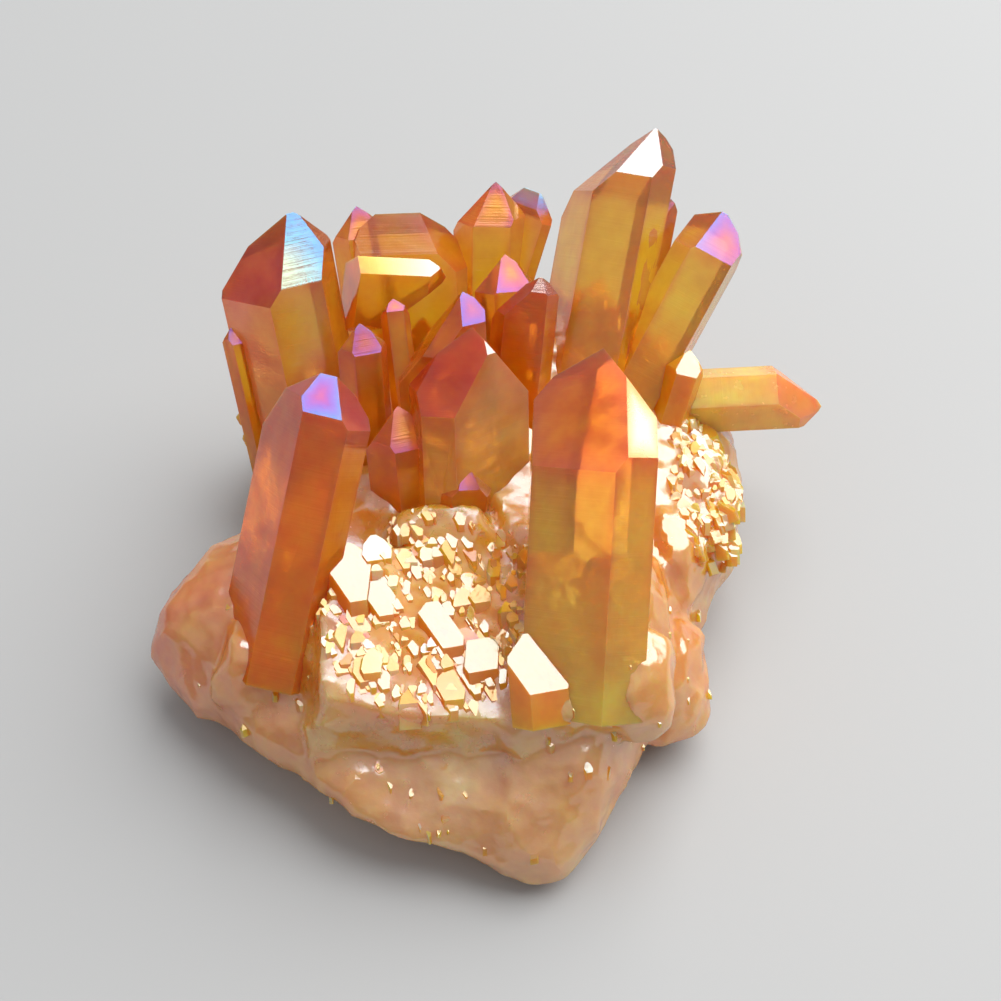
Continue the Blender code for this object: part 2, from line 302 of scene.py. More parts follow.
def face_fan(corners: np.ndarray, step: float) -> tuple[np.ndarray, np.ndarray, np.ndarray]:
    """A flat face as rings round its middle: P(s, t) = C + t (E(s) - C), where E(s) runs round the
    border from s = 0 to 1, C is the middle of the corners and t runs from 0 there to 1 on the border.

    Args:
        corners: the face's corners in order, shape (corners, 3).
        step: the distance between points along the border.

    Returns:
        The points, their t, and the triangles.
    """
    following = np.roll(corners, -1, axis=0)
    lengths = np.linalg.norm(following - corners, axis=1)
    counts = np.maximum(1, np.ceil(lengths / step - 1e-6)).astype(int)
    border = np.concatenate(
        [start + np.linspace(0, 1, count + 1)[:-1, None] * (end - start)
         for start, end, count in zip(corners, following, counts)]
    )
    middle = corners.mean(axis=0)
    rings = int(np.clip(np.ceil(np.median(np.linalg.norm(border - middle, axis=1)) / step / 1.6), 1, 12))
    t = np.arange(1, rings + 1) / rings
    points = np.concatenate([middle[None], (middle + t[:, None, None] * (border - middle)).reshape(-1, 3)])
    columns = len(border)
    here = np.arange(columns)
    after = (here + 1) % columns
    triangles = [np.stack([np.zeros_like(here), 1 + here, 1 + after], axis=1)]
    for ring in range(rings - 1):
        triangles.extend(band(1 + ring * columns, columns))
    share = np.concatenate([[0.0], np.repeat(t, columns)])
    return points, share, np.concatenate(triangles)


EVEN_POINT = (0.0, 0.3, 0.1, 0.5, 0.0, 0.2)
BRIGHT_POINT = (2.0, 2.0, 0.0, 2.0, 2.0, 2.0)
POINT_SLOPE = 38.2
PRISM_FACES = 6
# The way halfway between the soft light and the camera: faces within GLINT_WITHIN of it mirror the light
# into the camera, and only they get the thick film, a painted highlight.
GLINT_WAY = np.array([0.287, -0.150, 0.946])
GLINT_WITHIN = 0.88
EDGE_FADE = 6.0
SLOW_WAVE = 0.022
FINE_WAVE = 0.012
ROOT_SHARE = 0.7
ROOT_CLOUDING = 0.25
POINT_RIM_POWER = 2.0
SIDE_RIM_POWER = 5.0


@dataclass(frozen=True)
class CoatAndPaintedLight:
    """How one crystal is coloured: the tints of its point and of its sides, set by which way each face
    looks, partly the coat's own colour and partly painted light and shade; how clear it is, how
    frosted, and how strongly its edges are tinged with rose, partly the coat and partly a painted
    reflection along the edges. The thick coat is put only on the faces that look along GLINT_WAY,
    halfway between the soft light and the camera, so that they mirror the light: a painted highlight
    on a real coat. The film is its thickness there in nanometres, with what is added at the rim and
    for each mm below the tip: 60 shines white, 80 cream, 120 magenta, 135 lavender and 155 cyan.
    Every other face has the thin one."""

    point: Tint = Tint.EMBER
    front: Tint = Tint.GOLD
    left: Tint = Tint.AMBER
    right: Tint = Tint.PEACH
    root: Tint = Tint.AMBER
    clarity: float = 0.78
    frost: float = 0.05
    edge: float = 0.5
    film: float = 60.0
    film_rim: float = 0.0
    film_fall: float = 0.0
    thin_film: float = 0.0
    ripple: float = 0.0


@dataclass(frozen=True)
class Crystal:
    """One crystal. Its faces are measured from the tip: the sides across the axis, the steps along a
    point face's own outward direction, so a face with a larger step is a smaller face."""

    tip: tuple[float, float, float]
    lean: float
    heading: float
    turn: float
    length: float
    sides: tuple[float, ...]
    steps: tuple[float, ...] = EVEN_POINT
    coat_and_painted_light: CoatAndPaintedLight = CoatAndPaintedLight(point=Tint.AMBER, film=112.0, film_rim=14.0)

    def standing(self) -> np.ndarray:
        """The 3 by 3 matrix that turns the crystal from point up into its place."""
        return rotation("Z", self.heading) @ rotation("Y", self.lean) @ rotation("Z", self.turn)

    def planes(self) -> tuple[np.ndarray, np.ndarray]:
        """Six sides, six point faces and a foot, as unit normals and distances from the tip."""
        around = tau * np.arange(PRISM_FACES) / PRISM_FACES
        sides = np.stack([np.cos(around), np.sin(around), np.zeros(PRISM_FACES)], axis=1)
        points = sides * cos(radians(POINT_SLOPE)) + np.array([0.0, 0.0, sin(radians(POINT_SLOPE))])
        normals = np.concatenate([sides, points, [[0.0, 0.0, -1.0]]])
        return normals, np.array([*self.sides, *self.steps, self.length])

    def face_colour_and_shade(self, index: int, outward: np.ndarray) -> np.ndarray:
        """The skin's colour on one face, by which way the face looks: partly the coat's own colour and
        partly painted light and shade.
        """
        coat_and_painted_light = self.coat_and_painted_light
        if index >= PRISM_FACES:
            return np.array(coat_and_painted_light.point.value)
        aside = min(1.0, 2.0 * outward[0] ** 2)
        shares = np.array([aside * (outward[0] < 0.0), aside * (outward[0] >= 0.0), 1.0 - aside])
        tints = np.array([coat_and_painted_light.left.value, coat_and_painted_light.right.value, coat_and_painted_light.front.value])
        return shares @ tints

    def shell(self, step: float) -> Shell:
        """The crystal as fans over its faces. The relief is a fine unevenness of the growth, faded out
        to nothing at the edges, which stay sharp.

        Args:
            step: the distance between points along the edges.

        Returns:
            The crystal in its place.
        """
        normals, distances = self.planes()
        standing = self.standing()
        shells = []
        for index, corners in enumerate(convex_faces(normals, distances)):
            if not len(corners):
                continue
            points, share, triangles = face_fan(corners, step)
            inner = np.clip((1.0 - share) * EDGE_FADE, 0.0, 1.0)
            wave = SLOW_WAVE * noise(points * [1.0, 1.0, 0.6], 2.6, index)
            wave = wave + FINE_WAVE * noise(points, 1.1, index + 40)
            wave = wave + self.coat_and_painted_light.ripple * noise(points * [1.0, 1.0, 1.8], 2.0, index + 80)
            points = points + normals[index] * (inner * wave)[:, None]
            outward = standing @ normals[index]
            # Painted light and shade: each face takes the tint of the way it looks.
            tint = np.tile(self.face_colour_and_shade(index, outward), (len(points), 1))
            along = np.clip(-points[:, 2] / self.length, 0.0, 1.0)
            rooted = np.clip(along * 1.6 - 0.5, 0.0, 1.0)[:, None]
            tint = tint * (1 - ROOT_SHARE * rooted) + ROOT_SHARE * rooted * np.array(self.coat_and_painted_light.root.value)
            # Rose towards each face's edges: partly the coat's own colour and partly a painted reflection
            # along the edges.
            spread = POINT_RIM_POWER if index >= PRISM_FACES else SIDE_RIM_POWER
            rim = (share**spread * self.coat_and_painted_light.edge * (1.0 - rooted[:, 0]))[:, None]
            tint = tint * (1 - rim) + rim * np.array(Tint.ROSE.value)
            clarity = self.coat_and_painted_light.clarity * (1.0 - ROOT_CLOUDING * rooted)
            # Painted highlight: only the faces that mirror the soft light into the camera get the thick
            # film.
            mirrors_light = outward @ GLINT_WAY > GLINT_WITHIN
            film = self.coat_and_painted_light.film + self.coat_and_painted_light.film_rim * share - self.coat_and_painted_light.film_fall * points[:, 2]
            film = film if mirrors_light else np.full(len(points), self.coat_and_painted_light.thin_film)
            frost = np.full(len(points), self.coat_and_painted_light.frost)
            skin = np.stack([frost, film / FILM_UNIT, along, np.ones(len(points))], axis=1)
            placed = points @ standing.T + np.array(self.tip)
            shells.append(Shell(placed, triangles, np.concatenate([tint, clarity], axis=1), skin))
        return Shell.joined(shells)


PALE = CoatAndPaintedLight(
    point=Tint.AMBER, front=Tint.PEACH, clarity=0.3, frost=0.12, edge=0.1, film_rim=6.0
)

POINTS = {
    "front_right": Crystal(
        (9.2, -9.5, 32.5), 45, 86, 93, 32, (6.0, 8.2, 9.1, 4.6, 3.0, 2.5), (1.7, 0, 1.5, 0, 1.0, 0),
        CoatAndPaintedLight(
            point=Tint.FLAME, front=Tint.HONEY, left=Tint.HONEY, right=Tint.HONEY, root=Tint.HONEY,
            edge=0.8, film=58, film_rim=40,
        ),
    ),
    "middle": Crystal(
        (-2.6, -5.5, 31.3), 27.5, 92.5, 104, 24, (5.8, 5.5, 2.4, 5.4, 3.0, 4.5), (1.3, 0, 0.6, 0, 0.8, 0),
        CoatAndPaintedLight(
            front=Tint.HONEY, right=Tint.HONEY, root=Tint.GOLD, frost=0.14, film=62, ripple=0.06
        ),
    ),
    "front_left": Crystal(
        (-14.4, -12.9, 32.3), 42, 70.5, 73, 28.5, (9.5, 3.0, 2.6, 3.2, 3.5, 5.0), (2.8, 1.0, 0, 0, 0.8, 0),
        CoatAndPaintedLight(
            point=Tint.ROSE, front=Tint.AMBER, left=Tint.FLAME, root=Tint.FLAME, film=112, film_rim=22
        ),
    ),
    "back_left": Crystal(
        (-20.4, 6.8, 34.4), 24, 109, 61.5, 28, (7.5, 5.7, 4.5, 3.4, 2.8, 4.0), (1.8, 0, 0, 0.7, 0.5, 0),
        CoatAndPaintedLight(front=Tint.HONEY, left=Tint.ROSE, right=Tint.AMBER, film=160, thin_film=112),
    ),
    "tall_back": Crystal(
        (15.2, 17.2, 36.6), 42, 75, 57, 34, (9.0, 5.6, 3.9, 3.1, 2.1, 5.5), (1.0, 0, 0, 0.2, 0.6, 0),
        CoatAndPaintedLight(point=Tint.AMBER, front=Tint.HONEY, left=Tint.GOLD, right=Tint.GOLD, film=56),
    ),
    "tall_back_twin": Crystal(
        (16.9, 12.2, 31.8), 42, 75, 57, 26, (4.0, 3.0, 3.0, 0.6, 0.8, 2.0), EVEN_POINT,
        CoatAndPaintedLight(point=Tint.AMBER, front=Tint.HONEY, film=122),
    ),
    "back_right": Crystal(
        (22.0, 11.7, 30.7), 46, 50, 103, 22, (2.3, 3.7, 3.4, 3.7, 4.0, 3.0), (1.4, 0, 0, 1.2, 0.5, 0),
        CoatAndPaintedLight(point=Tint.AMBER, front=Tint.HONEY, left=Tint.GOLD, right=Tint.LIME, film=122, film_rim=12),
    ),
    "lying_right": Crystal(
        (32.0, 1.2, 15.2), 88, 2, 30, 24, (3.1, 2.8, 3.1, 3.2, 2.8, 2.8), (1.6, 0.4, 0, 0, 1.2, 1.6),
        CoatAndPaintedLight(Tint.PEACH, Tint.HONEY, Tint.HONEY, Tint.HONEY, Tint.HONEY, 0.25, 0.2, film=0.0),
    ),
    "inner_right": Crystal(
        (3.7, 1.4, 31.2), 30, 80, 60, 18, (5.5, 3.0, 1.0, 1.4, 2.0, 4.0), (0.6, 0, 0, 0.2, 0.5, 0),
        CoatAndPaintedLight(front=Tint.AMBER, right=Tint.AMBER),
    ),
    "inner_left": Crystal((-3.6, -0.4, 31.0), 28, 95, 90, 16, (6.5, 4.5, 2.2, 2.0, 2.0, 4.0)),
    "rear_edge": Crystal((-14.3, 11.9, 31.2), 24, 105, 60, 20, (2.6, 2.4, 2.2, 2.2, 2.2, 2.4)),
    "rear_knob": Crystal(
        (-0.6, 13.8, 32.6), 28, 88, 60, 24, (3.9, 3.2, 3.0, 3.0, 2.5, 2.5), (0, 0.1, 0, 0.4, 0.2, 0.6)
    ),
    "rear_knob_twin": Crystal(
        (3.4, 14.0, 31.4), 36, 60, 60, 24, (2.5, 2.4, 1.2, 2.6, 2.4, 2.0), (0.8, 0.8, 0.0, 0.4, 0.6, 0),
        CoatAndPaintedLight(point=Tint.AMBER, film=160, film_fall=-12),
    ),
    "rear_block": Crystal((0.4, 6.5, 29.6), 30, 90, 80, 18, (2.6, 3.0, 2.6, 2.6, 2.5, 2.5)),
    "rear_ledge": Crystal(
        (-5.4, 5.4, 27.6), 104.6, 13, 12.3, 9, (7.0, 4.5, 1.6, 1.4, 1.6, 5.0), EVEN_POINT,
        CoatAndPaintedLight(point=Tint.AMBER, film=56, film_fall=7),
    ),
    "ledge_stub": Crystal((-10.3, 1.2, 28.6), 40, 100, 60, 12, (1.2, 1.2, 1.0, 1.2, 1.2, 1.2)),
    "left_spur": Crystal((-26.3, 1.9, 24.6), 24, 109, 61.5, 18, (1.2, 1.2, 1.4, 1.4, 1.4, 1.4)),
    "drusy_stub": Crystal((-13.3, -2.6, 29.0), 20, 95, 75, 14, (2.0, 2.0, 2.0, 2.2, 2.0, 2.0)),
    "inner_low": Crystal((-9.6, -9.5, 25.0), 22, 100, 70, 14, (3.2, 2.6, 2.8, 3.0, 3.0, 3.0)),
    "inner_stump": Crystal((-3.6, -12.5, 22.4), 30, 80, 30, 10, (3.0, 2.6, 3.0, 3.0, 3.0, 3.0)),
    "rear_wide": Crystal(
        (-10.2, 11.2, 30.9), 28, 93, 0, 22, (2.6, 4.6, 4.6, 2.8, 6.2, 6.2), (0, 1.5, 2.2, 0, 1.5, 2.6),
        CoatAndPaintedLight(point=Tint.AMBER, film=0.0),
    ),
}


def bright(tip: tuple[float, float, float], length: float, sides: tuple[float, ...]) -> Crystal:
    """A blunt pale crystal whose third point face looks up at the light."""
    return Crystal(tip, 41.2, 97, 74.2, length, sides, BRIGHT_POINT, PALE)


BLOCKS = {
    "bright_stub": bright((-13.8, -23.8, 19.6), 9, (2.6, 1.7, 2.4, 2.0, 2.7, 1.9)),
    "bright_block": bright((3.2, -33.2, 19.0), 6, (2.4, 2.6, 2.2, 2.6, 2.4, 2.2)),
    "bright_chip": bright((-5.4, -28.8, 17.6), 6, (1.9, 1.1, 1.6, 2.1, 1.0, 1.5)),
    "bright_flake": bright((-1.8, -31.6, 16.4), 6, (1.2, 1.7, 0.9, 1.5, 1.9, 1.0)),
    "bright_left": bright((-10.6, -26.6, 18.2), 6, (1.1,) * 6),
    "foot_block": Crystal((18.8, 1.0, 22.0), 30, 60, 90, 10, (1.8,) * 6, EVEN_POINT, PALE),
}


@dataclass(frozen=True)
class Station:
    """One direction round the mass: its widest corner, the shoulder above it and the crown's height."""

    rim: tuple[float, float, float]
    shoulder: tuple[float, float, float]
    crown: float


STATIONS = (
    Station((2.5, -46.5, 2.0), (1.0, -42.0, 9.0), 13.0),
    Station((-4.0, -44.5, 4.0), (-5.5, -41.5, 8.0), 13.0),
    Station((-10.0, -43.5, 5.0), (-11.5, -40.5, 8.5), 13.0),
    Station((-19.5, -37.0, 5.0), (-17.5, -36.0, 10.5), 14.0),
    Station((-25.5, -32.5, 5.0), (-22.5, -31.5, 11.5), 15.0),
    Station((-31.5, -28.0, 5.0), (-26.0, -27.0, 12.5), 16.0),
    Station((-33.5, -22.5, 6.0), (-29.5, -22.0, 12.5), 16.0),
    Station((-31.0, -17.5, 7.0), (-27.0, -17.0, 12.5), 17.0),
    Station((-24.0, -8.0, 6.0), (-20.0, -7.0, 13.0), 18.0),
    Station((-22.5, 4.0, 5.0), (-18.0, 3.0, 15.0), 19.0),
    Station((-12.0, 11.5, 5.0), (-9.0, 8.0, 16.0), 20.0),
    Station((2.0, 14.0, 5.0), (2.0, 10.0, 17.0), 20.0),
    Station((14.0, 13.0, 5.0), (12.0, 9.0, 17.0), 20.0),
    Station((22.5, 6.0, 6.0), (18.0, 4.0, 16.0), 19.0),
    Station((24.5, -3.0, 8.0), (20.5, -3.0, 15.0), 18.0),
    Station((24.0, -13.0, 7.0), (19.5, -13.0, 14.0), 17.0),
    Station((19.0, -23.0, 5.0), (15.5, -22.0, 14.0), 18.0),
    Station((13.8, -33.0, 4.0), (12.5, -30.5, 14.0), 19.0),
    Station((10.5, -39.5, 4.0), (9.8, -35.5, 14.0), 19.0),
    Station((7.5, -44.5, 3.0), (6.5, -39.0, 13.0), 18.0),
)


def halfway(rows: np.ndarray, closed: bool) -> np.ndarray:
    """Doubles the rows of an array: each new row lies on the smooth curve through the four rows round
    it, which weighs the near two by 9/16 and the far two by -1/16.

    Args:
        rows: points in rows, shape (rows, ..., 3).
        closed: whether the last row is followed by the first.

    Returns:
        The doubled rows.
    """
    before = np.roll(rows, 1, axis=0)
    after = np.roll(rows, -1, axis=0)
    beyond = np.roll(rows, -2, axis=0)
    if not closed:
        before[0] = rows[0]
        after[-1] = rows[-1]
        beyond[-2:] = rows[-1]
    between = (9.0 * (rows + after) - before - beyond) / 16.0
    doubled = np.stack([rows, between], axis=1).reshape(-1, *rows.shape[1:])
    return doubled if closed else doubled[:-1]


@dataclass(frozen=True)
class Lump:
    """A rounded block: along each direction it reaches to where sum((n · p / d)^power) = 1 over its
    facets' normals n and distances d, which is a polyhedron with soft edges."""

    middle: tuple[float, float, float]
    radii: tuple[float, float, float]
    seed: int
    heading: float = 0.0
    facets: int = 22
    power: float = 16.0

    def shell(self, rows: int) -> Shell:
        """The lump on a grid of latitude and longitude, with two poles.

        Args:
            rows: how many rings of points from pole to pole.

        Returns:
            The lump in its place.
        """
        chance = np.random.default_rng(self.seed)
        height = 1.0 - (2.0 * np.arange(self.facets) + 1.0) / self.facets
        around = chance.uniform(0, tau) + tau * 0.381966 * np.arange(self.facets)
        flat = np.sqrt(1.0 - height**2)
        normals = np.stack([flat * np.cos(around), flat * np.sin(around), height], axis=1)
        normals = normals + chance.uniform(-0.3, 0.3, normals.shape)
        normals = normals / np.linalg.norm(normals, axis=1, keepdims=True)
        distances = chance.uniform(0.84, 1.0, self.facets)
        columns = 2 * rows
        v = np.pi * (np.arange(1, rows) / rows)[:, None]
        u = (tau * np.arange(columns) / columns)[None]
        ways = np.stack([np.sin(v) * np.cos(u), np.sin(v) * np.sin(u), np.cos(v) * np.ones_like(u)], axis=-1)
        ways = np.concatenate([[[0.0, 0.0, 1.0]], ways.reshape(-1, 3), [[0.0, 0.0, -1.0]]])
        pull = np.clip(ways @ normals.T / distances, 0.0, None)
        reach = (pull**self.power).sum(axis=1) ** (-1.0 / self.power)
        points = ways * np.minimum(reach, 1.06)[:, None] * np.array(self.radii)
        points = points @ rotation("Z", self.heading).T + np.array(self.middle)
        return peach_shell(points, ball_triangles(rows - 1, columns))


@dataclass(frozen=True)
class Terrace:
    """A block with one flat, nearly level top, whose corners are given in plan, counter-clockwise. From
    each edge of the top a flat side falls outwards at its own slope."""

    middle: tuple[float, float, float]
    way: tuple[float, float, float]
    corners: tuple[tuple[float, float], ...]
    slopes: tuple[float, ...]
    foot: float

    def shell(self, step: float) -> Shell:
        """The block. A side's normal is the edge's outward way times sin(slope) and the top's normal
        times cos(slope).

        Args:
            step: the distance between points along the edges.

        Returns:
            The block in its place.
        """
        up = np.array(self.way) / np.linalg.norm(self.way)
        plan = np.array(self.corners)
        height = self.middle[2] - (plan - np.array(self.middle[:2])) @ up[:2] / up[2]
        rim = np.column_stack([plan, height])
        outward = np.cross(np.roll(rim, -1, axis=0) - rim, up)
        outward = outward / np.linalg.norm(outward, axis=1, keepdims=True)
        slopes = np.radians(self.slopes)[:, None]
        sides = outward * np.sin(slopes) + up * np.cos(slopes)
        normals = np.concatenate([[up], sides, [[0.0, 0.0, -1.0]]])
        distances = np.concatenate([[up @ np.array(self.middle)], (sides * rim).sum(axis=1), [-self.foot]])
        fans = [face_fan(corners, step) for corners in convex_faces(normals, distances) if len(corners)]
        return Shell.joined([peach_shell(points, triangles) for points, _, triangles in fans])


def ball_triangles(rings: int, columns: int) -> np.ndarray:
    """Triangles of a ball whose points are one pole, the rings in order, and the other pole."""
    here = np.arange(columns)
    after = (here + 1) % columns
    last = 1 + rings * columns
    end = 1 + (rings - 1) * columns
    parts = [np.stack([np.zeros_like(here), 1 + here, 1 + after], axis=1)]
    for ring in range(rings - 1):
        parts.extend(band(1 + ring * columns, columns))
    parts.append(np.stack([end + after, end + here, np.full_like(here, last)], axis=1))
    return np.concatenate(parts)


@dataclass(frozen=True)
class Stain:
    """A stretch where the milky mass takes another colour, fading as exp(-(distance / reach)²)."""

    middle: tuple[float, float, float]
    reach: float
    tint: Tint
    strength: float

    def laid(self, points: np.ndarray, tint: np.ndarray) -> np.ndarray:
        """The colours with the stain over them."""
        away = ((points - np.array(self.middle)) ** 2).sum(axis=1)
        share = (self.strength * np.exp(-away / self.reach**2))[:, None]
        return tint * (1 - share) + share * np.array(self.tint.value)


POCKET = (-5.5, -27.0, 17.0)
POCKET_REACH = 11.0
MASS_CLARITY = 0.28
MASS_FROST = 0.15
MASS_FILM = 70.0
STAINS = (
    Stain((-14.0, -36.5, 12.0), 4.0, Tint.LIME, 0.6),
    Stain((-24.5, -29.5, 12.0), 5.0, Tint.FLAME, 0.8),
    Stain((-29.0, -23.0, 10.0), 6.0, Tint.AMBER, 0.8),
    Stain((-28.0, -24.0, 9.0), 9.0, Tint.EMBER, 0.7),
    Stain((-29.0, -26.0, 12.5), 2.5, Tint.LIME, 0.5),
    Stain((-20.0, -31.0, 12.0), 7.0, Tint.AMBER, 0.85),
    Stain((-6.0, -27.0, 16.0), 9.0, Tint.AMBER, 0.95),
    Stain((-5.0, -20.0, 17.0), 6.0, Tint.GOLD, 0.8),
    Stain((7.0, -34.0, 15.0), 5.0, Tint.GOLD, 0.7),
    Stain((-4.0, -36.0, 12.0), 5.0, Tint.GOLD, 0.6),
    Stain((17.0, -27.0, 6.0), 6.0, Tint.AMBER, 0.5),
    Stain((20.0, -8.0, 14.0), 9.0, Tint.CREAM, 0.6),
    Stain((3.0, -44.0, 6.0), 6.0, Tint.CREAM, 0.25),
)


def peach_shell(points: np.ndarray, triangles: np.ndarray) -> Shell:
    """A shell of the milky mass. Slow noise blends its peach towards amber and cream, and then the
    stains are laid over it. The ground of the pocket is dull, so that its small facets stand out."""
    warm = np.clip(0.5 + 0.9 * noise(points, 7.0, 5), 0, 1)[:, None]
    pale = np.clip(0.1 + 0.8 * noise(points, 4.0, 9), 0, 1)[:, None]
    tint = np.array(Tint.PEACH.value) * (1 - warm * 0.5) + np.array(Tint.AMBER.value) * warm * 0.5
    tint = tint * (1 - 0.6 * pale) + np.array(Tint.CREAM.value) * 0.6 * pale
    for stain in STAINS:
        tint = stain.laid(points, tint)
    clarity = np.full((len(points), 1), MASS_CLARITY)
    dull = np.exp(-((points - np.array(POCKET)) ** 2).sum(axis=1) / POCKET_REACH**2)
    film = (MASS_FILM + 8.0 * noise(points, 3.0, 31)) * (1.0 - dull)
    frost = MASS_FROST + 0.07 * noise(points, 2.0, 33) + 0.3 * dull
    skin = np.stack([frost, film / FILM_UNIT, 0.5 * frost, np.ones(len(points))], axis=1)
    return Shell(points, triangles, np.concatenate([tint, clarity], axis=1), skin)


def grown_together(base: bpy.types.Object, growths: bpy.types.Collection, name: str) -> bpy.types.Mesh:
    """One closed mesh from a base and all that grows on it, by a Boolean union.

    Args:
        base: the mesh object that the others grow on.
        growths: the collection of the others.
        name: the new mesh's name.

    Returns:
        The joined mesh, with the corner attributes kept.
    """
    union = base.modifiers.new("grown_together", "BOOLEAN")
    union.operation = "UNION"
    union.solver = "MANIFOLD"
    union.operand_type = "COLLECTION"
    union.collection = growths
    evaluated = base.evaluated_get(bpy.context.evaluated_depsgraph_get())
    mesh = bpy.data.meshes.new_from_object(evaluated)
    mesh.name = name
    for used in [*growths.objects, base]:
        bpy.data.objects.remove(used)
    bpy.data.collections.remove(growths)
    return mesh


def as_piece(mesh: bpy.types.Mesh, name: str, material: bpy.types.Material) -> bpy.types.Object:
    """Moves a joined mesh over the origin, scales it to metres and puts it in the scene as a piece."""
    mesh.transform(Matrix.Scale(METRES_PER_MM, 4) @ Matrix.Translation(-Vector(STAND)))
    mesh.shade_smooth()
    mesh.set_sharp_from_angle(angle=radians(SMOOTH_UP_TO))
    mesh.materials.clear()
    mesh.materials.append(material)
    piece = bpy.data.objects.new(name, mesh)
    bpy.context.scene.collection.objects.link(piece)
    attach(piece, BODY)
    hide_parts(NODE)
    log.info("%s: %d faces", name, len(mesh.polygons))
    return piece


@dataclass
class NodeSheet:
    """A material's node tree with short ways to add and join nodes."""

    name: str

    def __post_init__(self) -> None:
        """Makes the material with one Principled shader."""
        self.material = bpy.data.materials.new(self.name)
        self.material.use_nodes = True
        self.tree = self.material.node_tree
        self.shader = self.tree.nodes["Principled BSDF"]
        self.output = self.tree.nodes["Material Output"]

    def add(self, kind: str, **settings: object) -> bpy.types.Node:
        """Adds a node. A setting names a property, or a socket with its underscores as spaces."""
        node = self.tree.nodes.new("ShaderNode" + kind)
        for key, value in settings.items():
            if hasattr(node, key):
                setattr(node, key, value)
            else:
                node.inputs[key.replace("_", " ")].default_value = value
        return node

    def join(self, source: bpy.types.NodeSocket, target: bpy.types.NodeSocket) -> None:
        """Links one socket to another."""
        self.tree.links.new(source, target)

    def ranged(self, source: bpy.types.NodeSocket, low: float, high: float,
               start: float = 0.0, end: float = 1.0) -> bpy.types.NodeSocket:
        """A value carried from one range to another."""
        node = self.add("MapRange", From_Min=start, From_Max=end, To_Min=low, To_Max=high)
        self.join(source, node.inputs["Value"])
        return node.outputs["Result"]

    def noise(self, place: bpy.types.NodeSocket, scale: float, detail: float,
              roughness: float = 0.5) -> bpy.types.NodeSocket:
        """The factor of a noise pattern over a place."""
        node = self.add("TexNoise", Scale=scale, Detail=detail, Roughness=roughness)
        self.join(place, node.inputs["Vector"])
        return node.outputs["Fac"]

    def times(self, first: bpy.types.NodeSocket, second: bpy.types.NodeSocket) -> bpy.types.NodeSocket:
        """The product of two values."""
        node = self.add("Math", operation="MULTIPLY")
        self.join(first, node.inputs[0])
        self.join(second, node.inputs[1])
        return node.outputs[0]


@dataclass(frozen=True)
class QuartzFinish:
    """Coated quartz. With a density above 0 the inside takes up light; the thin skin has its own index
    and plays in white, lavender, pink and cyan by its thickness. Lengths here are metres."""

    name: str
    film_index: float
    bump: float
    grain: float
    stripes: float = 0.0
    density: float = 0.0
    absorbs: tuple[float, float, float, float] = (1.0, 1.0, 1.0, 1.0)
    scatter: float = 1.0
    scatter_reach: float = 0.004
    index: float = 1.544

    def make(self) -> bpy.types.Material:
        """Builds the node material.

        Returns:
            The material, which reads the tint and skin attributes and Object coordinates.
        """
        sheet = NodeSheet(self.name)
        shader = sheet.shader
        tint = sheet.add("Attribute", attribute_name="tint")
        skin = sheet.add("Attribute", attribute_name="skin")
        place = sheet.add("TexCoord").outputs["Object"]

        cloud = sheet.noise(place, 260.0, 3.0, 0.6)
        shade = sheet.add("HueSaturation")
        sheet.join(tint.outputs["Color"], shade.inputs["Color"])
        sheet.join(sheet.ranged(cloud, 0.9, 1.08, 0.3, 0.7), shade.inputs["Value"])
        sheet.join(sheet.ranged(cloud, 0.49, 0.51, 0.3, 0.7), shade.inputs["Hue"])
        sheet.join(shade.outputs["Color"], shader.inputs["Base Color"])
        sheet.join(tint.outputs["Alpha"], shader.inputs["Transmission Weight"])

        parted = sheet.add("SeparateColor")
        sheet.join(skin.outputs["Color"], parted.inputs["Color"])
        mottle = sheet.ranged(sheet.noise(place, 900.0, 2.0), 0.5, 1.5, 0.3, 0.7)
        sheet.join(sheet.times(parted.outputs["Red"], mottle), shader.inputs["Roughness"])

        sheen = sheet.ranged(sheet.noise(place, 110.0, 1.0), 0.9 * FILM_UNIT, 1.1 * FILM_UNIT, 0.3, 0.7)
        sheet.join(sheet.times(parted.outputs["Green"], sheen), shader.inputs["Thin Film Thickness"])
        shader.inputs["Thin Film IOR"].default_value = self.film_index
        shader.inputs["IOR"].default_value = self.index
        shader.inputs["Subsurface Weight"].default_value = self.scatter
        shader.inputs["Subsurface Scale"].default_value = self.scatter_reach
        shader.inputs["Subsurface Radius"].default_value = (1.0, 0.5, 0.15)

        bump = sheet.add("Bump", Strength=self.bump, Distance=0.0002)
        sheet.join(sheet.noise(place, self.grain, 4.0, 0.55), bump.inputs["Height"])
        sheet.join(bump.outputs["Normal"], shader.inputs["Normal"])
        if self.stripes > 0.0:
            level = sheet.add("Math", operation="MULTIPLY")
            sheet.join(parted.outputs["Blue"], level.inputs[0])
            level.inputs[1].default_value = self.stripes
            lines = sheet.add("TexNoise", noise_dimensions="1D", Scale=1.0, Detail=3.0, Roughness=0.7)
            sheet.join(level.outputs[0], lines.inputs["W"])
            steps = sheet.add("Bump", Strength=0.12, Distance=0.0002)
            sheet.join(lines.outputs["Fac"], steps.inputs["Height"])
            sheet.join(steps.outputs["Normal"], bump.inputs["Normal"])

        if self.density > 0.0:
            body = sheet.add("VolumeAbsorption", Color=self.absorbs, Density=self.density)
            sheet.join(body.outputs["Volume"], sheet.output.inputs["Volume"])
        return sheet.material


CLEAR_FINISH = QuartzFinish(
    "clear_orange_quartz", film_index=2.2, bump=0.1, grain=500.0, stripes=90.0,
    density=95.0, absorbs=(0.99, 0.86, 0.05, 1.0),
)
MILKY_FINISH = QuartzFinish("milky_peach_quartz", film_index=2.0, bump=0.3, grain=900.0)


